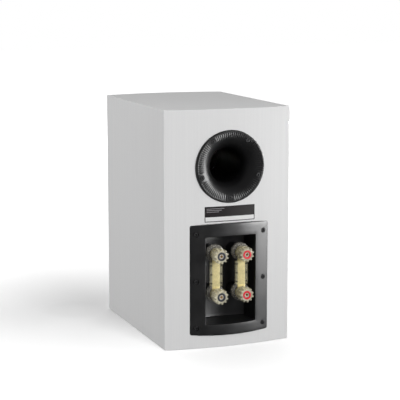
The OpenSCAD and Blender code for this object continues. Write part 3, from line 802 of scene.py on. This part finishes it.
def build_label():
    """A film label that follows the back panel's bow, with rounded corners."""
    low, high = box_mm("rating_label")
    half_w, half_h = (high[0] - low[0]) / 2, (high[2] - low[2]) / 2
    mid_z = (low[2] + high[2]) / 2
    rings = []
    face, back = 0.55, 0.2
    for scale, proud in ((0.02, face), (0.5, face), (1.0, face), (1.0, back), (0.5, back), (0.02, back)):
        corners = rounded_rectangle(half_w * scale, half_h * scale, 0.9 * scale)
        rings.append([(x, rear_y(x, proud), z + mid_z) for x, z in corners])
    place(rings_mesh("blank_label", rings), LABEL, "cabinet", "label", "rating_label")


build_cup()
build_label()


# ---- binding posts -----------------------------------------------------------

COLLAR_Y0, COLLAR_Y1 = box_mm("post_collars")[0][1], box_mm("post_collars")[1][1]
STUD_Y0, STUD_Y1 = box_mm("post_studs")[0][1], box_mm("post_studs")[1][1]
STUD_R = 3.5
SOCKET_R = 2.05
SOCKET_FLOOR = 145.6
WIRE_HOLE_R = 1.3
WIRE_HOLE_Y = 143.75
THREAD_ROWS = 56
COLLAR_R = 13.5
COLLAR_NECK_R = 10
CORE_R = 6.4
WASHER_R = 9.0
KNOB_TIP_R = 11.1
KNOB_ROOT_R = 9.0
TEETH = 11
LINK_HALF_W = 5.85
LINK_EYE_R = 9.0
LINK_SCREW_X = 7.6
LINK_SCREW_DZ = 13.2


def star(root, tip):
    """Radius round a knob's grip: narrow rounded teeth with wider hollows."""
    def radius(angle):
        wave = math.cos(TEETH * angle)
        t = min(1.0, max(0.0, (wave + 0.15) / 0.8))
        return root + (tip - root) * t * t * (3 - 2 * t)
    return radius


def build_fixed_post_parts():
    collars, studs = [], []
    for x, z in POSTS.values():
        profile = fillet([
            (3.65, COLLAR_Y0), (COLLAR_NECK_R, COLLAR_Y0, 0.5), (COLLAR_NECK_R, COLLAR_Y0 + 2.5),
            (COLLAR_R, COLLAR_Y0 + 2.5, 1.4), (COLLAR_R, COLLAR_Y1, 1.8), (3.65, COLLAR_Y1),
        ])
        collars.append(lathe("collar", profile, x, z, 64, closed=True))
        thread = []
        for k in range(THREAD_ROWS):
            y = STUD_Y0 + 1 + (STUD_Y1 - STUD_Y0 - 2) * k / (THREAD_ROWS - 1)
            thread.append((STUD_R - (0.3 if k % 2 else 0.02), y))
        profile = [
            (0, STUD_Y0), (STUD_R - 0.6, STUD_Y0), *thread, (STUD_R - 0.6, STUD_Y1),
            (SOCKET_R + 0.35, STUD_Y1), (SOCKET_R, STUD_Y1 - 0.4), (SOCKET_R, SOCKET_FLOOR),
            (0, SOCKET_FLOOR - 0.8),
        ]
        stud = lathe("stud", profile, x, z, 40)
        hole = lathe("cutter", [(0, -10), (WIRE_HOLE_R, -10), (WIRE_HOLE_R, 10), (0, 10)], 0, 0, 24)
        hole.data.transform(turned_to_z(x, WIRE_HOLE_Y, z))
        studs.append(cut(stud, hole))
    place(join("clear_collars", collars), CLEAR_COLLAR, "cabinet", "clear_plastic", "post_collars")
    place(join("threaded_studs", studs), GOLD_STUD, "cabinet", "gold_plate", "post_studs")


def turned_to_z(x, y, z):
    """Turns something drawn along Y to lie along Z at a point."""
    return Matrix.Translation(Vector((x, y, z)) * MM) @ Matrix.Rotation(math.radians(90), 4, "X")


def build_jumpers():
    low, high = box_mm("jumper_bars")
    cover_low, cover_high = box_mm("jumper_covers")
    bars, covers, screws = [], [], []
    top, bottom = POSTS["upper_red"][1], POSTS["lower_red"][1]
    mid_z = (top + bottom) / 2
    cover_half_h = (cover_high[2] - cover_low[2]) / 2
    meet = math.asin(LINK_HALF_W / LINK_EYE_R)
    sweep = 2 * math.pi - 2 * meet
    for x in sorted({p[0] for p in POSTS.values()}):
        outline = []
        for cz, start in ((top, -math.pi / 2 + meet), (bottom, math.pi / 2 + meet)):
            for k in range(41):
                a = start + sweep * k / 40
                outline.append((x + LINK_EYE_R * math.cos(a), cz + LINK_EYE_R * math.sin(a)))
        bars.append(bevel(slab("bar", outline, low[1], high[1]), 0.25, 2))
        outer = [(u + x, v + mid_z) for u, v in rounded_rectangle(9.5, cover_half_h, 1.0)]
        front = bevel(slab("cover", outer, high[1] + 0.05, cover_high[1]), 0.5, 3)
        covers.append(front)
        for side in (-1, 1):
            strip = [(u + x + side * 7.75, v + mid_z) for u, v in rounded_rectangle(1.75, 17.6, 0.4, 6, 3)]
            covers.append(bevel(slab("rail", strip, low[1] - 1.5, high[1] + 0.02), 0.2, 2))
        rivet = fillet([
            (0, low[1] - 1.2), (0.9, low[1] - 1.2), (0.9, cover_high[1] - 0.2), (1.15, cover_high[1] - 0.2),
            (1.15, cover_high[1] + 0.35, 0.3), (0, cover_high[1] + 0.45),
        ])
        for side in (-1, 1):
            for dz in (-LINK_SCREW_DZ, 0, LINK_SCREW_DZ):
                screws.append(lathe("rivet", rivet, x + side * LINK_SCREW_X, mid_z + dz, 20))
    place(join("gold_links", bars), GOLD, "cabinet", "gold_plate", "jumper_bars")
    place(join("clear_link_covers", covers), CLEAR_COVER, "cabinet", "clear_plastic", "jumper_covers")
    place(join("link_rivets", screws), BLACK_SCREW, "cabinet", "black_screw", "jumper_screws")


def build_knob(post):
    """A post's moving pieces: clamp washer, clear toothed shell, threaded core and coloured ring."""
    x, z = POSTS[post]
    clamp, nut = f"{post}_clamp", f"{post}_nut"
    low, high = box_mm(f"{post}_washer")
    washer = lathe(f"{post}_clamp_washer", fillet([
        (3.9, low[1]), (WASHER_R, low[1], 0.4), (WASHER_R, high[1], 0.4), (3.9, high[1]),
    ]), x, z, 64, closed=True)
    place(washer, GOLD, clamp, "gold_plate", f"{post}_washer")

    low, high = box_mm(f"{post}_knob")
    grip = low[1] + 7.2
    profile = [(6.6, low[1]), (9.3, low[1]), (9.8, low[1] + 0.5), (9.8, grip - 0.5), (10.0, grip)]
    star_from = len(profile)
    profile += [
        (10.9, grip + 0.2), (KNOB_TIP_R, grip + 0.8), (KNOB_TIP_R, high[1] - 0.8), (10.8, high[1] - 0.2),
        (10.2, high[1]),
    ]
    star_to = len(profile)
    profile += [(6.9, high[1]), (6.5, high[1] - 0.1), (6.45, high[1] - 1.0), (3.65, high[1] - 1.0),
                (3.65, high[1] - 2.4), (6.6, high[1] - 2.4)]
    grips = star(KNOB_ROOT_R, KNOB_TIP_R)

    def toothed(i, r, angle):
        if not star_from <= i < star_to:
            return r
        return grips(angle) - (KNOB_TIP_R - r)

    knob = lathe(f"{post}_clear_knob", profile, x, z, TEETH * 16, closed=True, radius_at=toothed)
    place(knob, CLEAR, nut, "clear_plastic", f"{post}_knob")

    low, high = box_mm(f"{post}_core")
    core = lathe(f"{post}_gold_core", fillet([
        (3.55, low[1]), (CORE_R, low[1], 0.3), (CORE_R, high[1] - 0.15, 0.3), (3.55, high[1] - 0.15),
    ]), x, z, 48, closed=True)
    place(core, GOLD, nut, "gold_plate", f"{post}_core")

    low, high = box_mm(f"{post}_ring")
    tint = "red" if "red" in post else "black"
    ring = lathe(f"{post}_colour_ring", fillet([
        (3.7, low[1] + 0.05), (CORE_R, low[1] + 0.05), (CORE_R, high[1], 0.35), (3.7, high[1], 0.35),
        (3.7, low[1] + 0.3),
    ]), x, z, 48, closed=True)
    place(ring, RED if tint == "red" else BLACK, nut, f"{tint}_ring", f"{post}_ring")


build_fixed_post_parts()
build_jumpers()
for post in POSTS:
    build_knob(post)
dress_node("post_nuts", GOLD)


# ---- woofer ------------------------------------------------------------------

WOOFER_BODY = "woofer_cone_assembly"
TWEETER_BODY = "tweeter_dome_assembly"
COIL_R = 12.95
CAP_R = 19.6
CONE_R = 51.0
ROLL_MID = 58.4
ROLL_R = 6.6
HORN_IN, HORN_OUT = 15.2, 30
TWEETER_SCREW_R = 42
DOME_R = 14.2


def blend_radially(obj, moving, cx, cz, r_in, r_out):
    """Lets a ring flex: it follows the moving body at r_in and the cabinet at r_out."""
    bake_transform(obj, moving, "cabinet", start=(cx * MM, 0, cz * MM), end=(cx * MM, 0.1, cz * MM))
    weights = obj.data.attributes["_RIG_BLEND"].data
    for vertex, weight in zip(obj.data.vertices, weights):
        r = math.hypot(vertex.co.x / MM - cx, vertex.co.z / MM - cz)
        t = min(1.0, max(0.0, (r - r_in) / (r_out - r_in)))
        weight.value = t * t * (3 - 2 * t)


def build_woofer():
    y0 = WOOFER_FACE
    cone = [(COIL_R, y0 + 24.4)]
    rows = 24
    for k in range(rows + 1):
        t = k / rows
        cone.append((COIL_R + (CONE_R - COIL_R) * t, y0 + 23 - 24 * (t ** 0.86)))
    cone += [(CONE_R, y0 - 0.2)] + [(r, y + 1.2) for r, y in reversed(cone[2:-1])]
    piece = lathe("woven_cone", cone, 0, WOOFER_Z, 144, closed=True)
    place(piece, CONE, WOOFER_BODY, "cone_material", "woofer_cone")

    cap = []
    for k in range(15):
        r = CAP_R * k / 14
        cap.append((r, y0 + 19.3 - 7.0 * (1 - (r / CAP_R) ** 2) + 0.3 * (r / CAP_R)))
    cap += [(19.4, y0 + 20.0)] + [(r * 0.97, y + 0.9) for r, y in reversed(cap[:-1])]
    piece = lathe("domed_dust_cap", cap, 0, WOOFER_Z, 96)
    place(piece, DOME, WOOFER_BODY, "cone_material", "woofer_dust_cap")

    roll = [(CONE_R - 1.6, y0 - 0.9), (CONE_R, y0 - 1.7)]
    arc = []
    for k in range(21):
        a = math.radians(180 - 180 * k / 20)
        arc.append((ROLL_MID + ROLL_R * math.cos(a), y0 - 0.8 - (ROLL_R - 0.8) * math.sin(a)))
    under = [(r + (ROLL_MID - r) * 0.09, y + 0.8) for r, y in reversed(arc)]
    roll += arc + [(66.4, y0 - 0.8), (70, y0 - 0.8), (70, y0 - 0.05), (65.2, y0 - 0.05)]
    roll += under + [(CONE_R - 1.4, y0 - 0.2)]
    piece = lathe("rubber_surround", roll, 0, WOOFER_Z, 144, closed=True)
    dress(piece, RUBBER)
    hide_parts("woofer_surround")
    blend_radially(piece, WOOFER_BODY, 0, WOOFER_Z, CONE_R, 65)

    low, high = box_mm("woofer_spider")
    waves, steps, inner, outer = 6, 60, 13.0, 45.0
    wave_in, wave_out = 16, 42
    mid_y = (low[1] + high[1]) / 2
    sheet = []
    for k in range(steps + 1):
        r = inner + (outer - inner) * k / steps
        live = 1.0 if wave_in < r < wave_out else 0.0
        turn = 2 * math.pi * waves * (r - wave_in) / (wave_out - wave_in)
        sheet.append((r, mid_y + 0.7 * live * math.sin(turn)))
    profile = sheet + [(r, y + 0.5) for r, y in reversed(sheet)]
    piece = lathe("corrugated_spider", profile, 0, WOOFER_Z, 120, closed=True)
    dress(piece, SPIDER)
    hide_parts("woofer_spider")
    blend_radially(piece, WOOFER_BODY, 0, WOOFER_Z, 15, 42)

    proud = 1.25
    ring_rows = [
        (66.6, "inner"), (66.6, "flat"), (69.2, "soft"), (70.0, "face"),
        (77.2, "face"), (77.9, "soft"), (78.1, "flat"), (78.1, "inner"),
    ]
    inset = {"face": 0.0, "soft": 0.25, "flat": 1.0}

    def bowed(i, r, y, angle):
        kind = ring_rows[i][1]
        if kind == "inner":
            return y0 - (0.85 if r < 70.2 else 0.02)
        return front_y(r * math.cos(angle), proud) + inset[kind]

    trim = lathe("woofer_trim", [(r, 0) for r, _ in ring_rows], 0, WOOFER_Z, 192, closed=True, y_at=bowed)
    place(trim, TRIM_PLASTIC, "cabinet", "black_plastic", "woofer_trim_ring")


def build_tweeter():
    y0 = TWEETER_FACE
    outer = box_mm("tweeter_faceplate")[1][0]
    horn = [(HORN_IN + (HORN_OUT - HORN_IN) * k / 12, y0 + 4.0 * (1 - k / 12) ** 1.8) for k in range(13)]
    profile = [(HORN_IN, y0 + 5.2)] + horn + fillet([(31, y0), (outer, y0, 0.8), (outer, y0 + 3)], 4)
    profile += [(34.5, y0 + 3), (34.5, y0 + 7), (17.5, y0 + 7), (17.5, y0 + 5.2)]
    plate = lathe("tweeter_horn_plate", profile, 0, TWEETER_Z, 144, closed=True)
    screws = [math.radians(45 + 90 * k) for k in range(4)]
    holes = [(TWEETER_SCREW_R * math.cos(a), TWEETER_Z + TWEETER_SCREW_R * math.sin(a)) for a in screws]
    cut(plate, *[disc_cutter(3.9, y0 - 5, y0 + 1.8, z, x, 32) for x, z in holes])
    place(plate, TRIM_PLASTIC, "cabinet", "black_plastic", "tweeter_faceplate")

    base = y0 + 5.9
    cap = [(DOME_R * k / 14, base - 5.0 * (1 - (k / 14) ** 2)) for k in range(15)]
    for k in range(1, 9):
        a = math.pi * k / 8
        cap.append((15.5 - 1.3 * math.cos(a), base - 0.2 * math.sin(a)))
    cap += [(16.8, base + 0.4), (13.4, base + 0.4)] + [(r * 0.96, y + 0.5) for r, y in reversed(cap[:13])]
    dome = lathe("soft_dome", cap, 0, TWEETER_Z, 96)
    place(dome, DOME, TWEETER_BODY, "dome_material", "tweeter_dome")


build_woofer()
build_tweeter()
for node, material in {
    "woofer_basket": TRIM_PLASTIC, "woofer_voice_coil": COPPER, "woofer_top_plate": STEEL,
    "woofer_magnet": FERRITE, "woofer_yoke": STEEL, "driver_screws": STEEL,
    "tweeter_voice_coil": COPPER, "tweeter_top_plate": STEEL, "tweeter_magnet": FERRITE,
    "tweeter_yoke": STEEL, "tweeter_chamber": TRIM_PLASTIC, "crossover_board": LAMINATE,
    "crossover_spacers": STEEL, "crossover_inductors": COPPER, "crossover_capacitors": FILM,
    "crossover_resistors": CERAMIC, "internal_wires": INSULATION, "acoustic_wadding": WADDING,
}.items():
    dress_node(node, material)


# ---- stage -------------------------------------------------------------------

# The floor's own brightness, from its shaded place beside the cabinet to the middle and the far distance
SHADE_PLACE = (0.15, -0.15, 0)
FLOOR_GLOW_NEAR = 0.03
FLOOR_GLOW_MID = 0.45
FLOOR_GLOW_FAR = 0.40
FLOOR_BOUNCE = 0.20


def build_floor():
    mesh = bpy.data.meshes.new("floor")
    size, level = 8.0, -0.0004
    corners = [(-size, -size, level), (size, -size, level), (size, size, level), (-size, size, level)]
    mesh.from_pydata(corners, [], [(0, 1, 2, 3)])
    floor = bpy.data.objects.new("floor", mesh)
    bpy.context.scene.collection.objects.link(floor)
    s = Shader("pale_floor", (0.93, 0.93, 0.93), 0.9, Specular_IOR_Level=0.1)
    s.bsdf.inputs["Emission Color"].default_value = (1, 1, 1, 1)
    cloud = s.noise((3, 3, 3), 3.0)
    s.tint(s.ramp(cloud, 0, 1, 0.3, 0.7), (0.92, 0.92, 0.92), (0.94, 0.94, 0.94))
    reach = s.node("ShaderNodeVectorMath", operation="DISTANCE")
    s.link(s.coords, reach.inputs[0])
    reach.inputs[1].default_value = SHADE_PLACE
    glow = s.node("ShaderNodeMath", operation="ADD")
    s.link(s.ramp(reach.outputs["Value"], FLOOR_GLOW_NEAR, FLOOR_GLOW_MID, 0.04, 0.32), glow.inputs[0])
    s.link(s.ramp(reach.outputs["Value"], 0, FLOOR_GLOW_FAR, 0.32, 1.6), glow.inputs[1])
    s.link(glow.outputs["Value"], s.bsdf.inputs["Emission Strength"])
    bounce = s.node("ShaderNodeBsdfDiffuse")
    bounce.inputs["Color"].default_value = (FLOOR_BOUNCE, FLOOR_BOUNCE, FLOOR_BOUNCE, 1)
    seen = s.node("ShaderNodeLightPath")
    mixed = s.node("ShaderNodeMixShader")
    s.link(seen.outputs["Is Camera Ray"], mixed.inputs["Fac"])
    s.link(bounce.outputs["BSDF"], mixed.inputs[1])
    s.link(s.bsdf.outputs["BSDF"], mixed.inputs[2])
    s.link(mixed.outputs["Shader"], s.tree.nodes["Material Output"].inputs["Surface"])
    dress(floor, s.material)


def area_light(name, place_m, target_m, size, power):
    data = bpy.data.lights.new(name, "AREA")
    data.shape = "RECTANGLE"
    data.size, data.size_y = size
    data.energy = power
    light = bpy.data.objects.new(name, data)
    light.visible_camera = False
    light.visible_glossy = name.startswith("gloss")
    light.visible_diffuse = not light.visible_glossy
    light.location = place_m
    direction = Vector(target_m) - Vector(place_m)
    light.rotation_euler = direction.to_track_quat("-Z", "Y").to_euler()
    bpy.context.scene.collection.objects.link(light)


ROOM_LIGHT = 0.25
LIGHT_TARGET = (0, 0, 0.18)
# Each soft light: name, direction from the object, distance, width, height, and power. A light for tones
# is hidden from reflections, and a light for gloss gives only reflections.
LIGHTS = (
    ("tone_key", (-0.16, 0.94, 0.22), 5.0, 1.5, 1.5, 158),
    ("tone_left", (0.98, -0.15, 0.10), 3.0, 1.6, 1.2, 47),
    ("tone_top", (0.00, -0.45, 0.89), 2.5, 1.5, 1.5, 17),
    ("tone_front", (-0.62, -0.78, -0.02), 3.0, 1.5, 0.5, 60),
    ("gloss_right", (-0.79, 0.60, 0.04), 1.1, 0.75, 0.5, 26),
)


def build_light():
    world = bpy.data.worlds.new("studio")
    bpy.context.scene.world = world
    world.use_nodes = True
    tree = world.node_tree
    room = tree.nodes["Background"]
    room.inputs["Color"].default_value = (1, 1, 1, 1)
    room.inputs["Strength"].default_value = ROOM_LIGHT
    backdrop = tree.nodes.new("ShaderNodeBackground")
    backdrop.inputs["Color"].default_value = (1, 1, 1, 1)
    seen = tree.nodes.new("ShaderNodeLightPath")
    mixed = tree.nodes.new("ShaderNodeMixShader")
    tree.links.new(seen.outputs["Is Camera Ray"], mixed.inputs["Fac"])
    tree.links.new(room.outputs["Background"], mixed.inputs[1])
    tree.links.new(backdrop.outputs["Background"], mixed.inputs[2])
    tree.links.new(mixed.outputs["Shader"], tree.nodes["World Output"].inputs["Surface"])
    target = Vector(LIGHT_TARGET)
    for name, direction, distance, width, height, power in LIGHTS:
        place_m = target + Vector(direction).normalized() * distance
        area_light(name, place_m, target, (width, height), power)


CAMERA_PLACE = (0.7310, 1.9167, 0.5352)
CAMERA_YAW = math.radians(21.121)
CAMERA_PITCH = math.radians(9.393)
SENSOR_W = 36
LENS = SENSOR_W * 1337.4 / 400


def build_camera():
    data = bpy.data.cameras.new("camera")
    data.sensor_width = SENSOR_W
    data.lens = LENS
    data.clip_end = 50
    camera = bpy.data.objects.new("camera", data)
    camera.location = CAMERA_PLACE
    flat = math.cos(CAMERA_PITCH)
    direction = Vector((-math.sin(CAMERA_YAW) * flat, -math.cos(CAMERA_YAW) * flat, -math.sin(CAMERA_PITCH)))
    camera.rotation_euler = direction.to_track_quat("-Z", "Y").to_euler()
    bpy.context.scene.collection.objects.link(camera)
    bpy.context.scene.camera = camera


build_floor()
build_light()
build_camera()
bpy.context.scene.view_settings.view_transform = "Standard"
